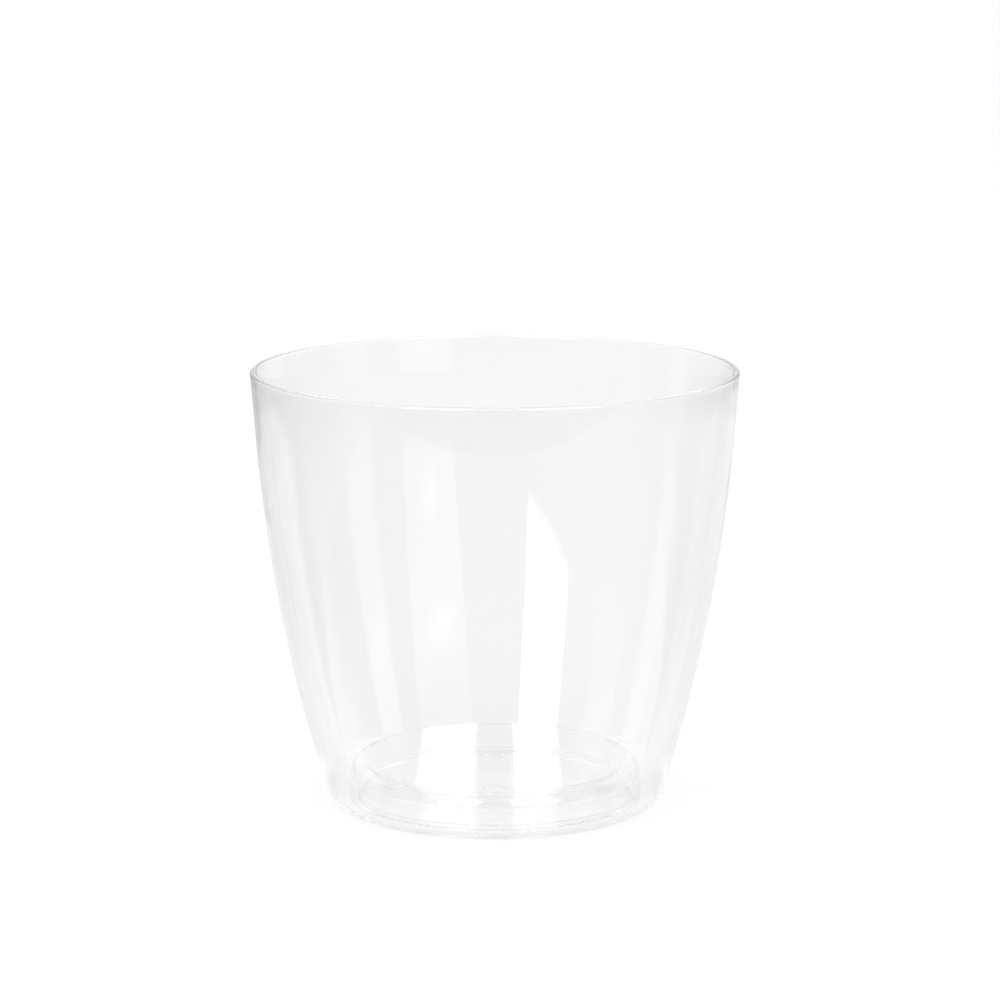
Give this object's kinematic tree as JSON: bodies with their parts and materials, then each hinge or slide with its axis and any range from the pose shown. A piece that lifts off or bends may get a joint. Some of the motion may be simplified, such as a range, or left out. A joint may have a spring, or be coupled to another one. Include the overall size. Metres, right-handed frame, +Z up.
{
  "type": "plant pot",
  "caption": "Clear plastic plant pot: a round cup with a bowed, tapering wall and a thin rounded lip, and a low round stand in its base that keeps the plant above the water.",
  "frame": {"origin": "on the surface that the pot stands on, under the middle of its foot", "axes": "+Z up along the pot's axis, from the foot to the mouth"},
  "size_m": [0.125, 0.125, 0.113],
  "materials": {
    "clear_shell": "clear, polished",
    "clear_stand": "clear, polished"
  },
  "bodies": {
    "pot": {"pot_shell": "clear_shell"},
    "stand": {"raised_stand": "clear_stand"}
  },
  "joints": [
    {"name": "stand_lift", "type": "slide", "parent": "pot", "child": "stand", "axis": [0, 0, 1], "range_m": [0, 0.125]}
  ]
}
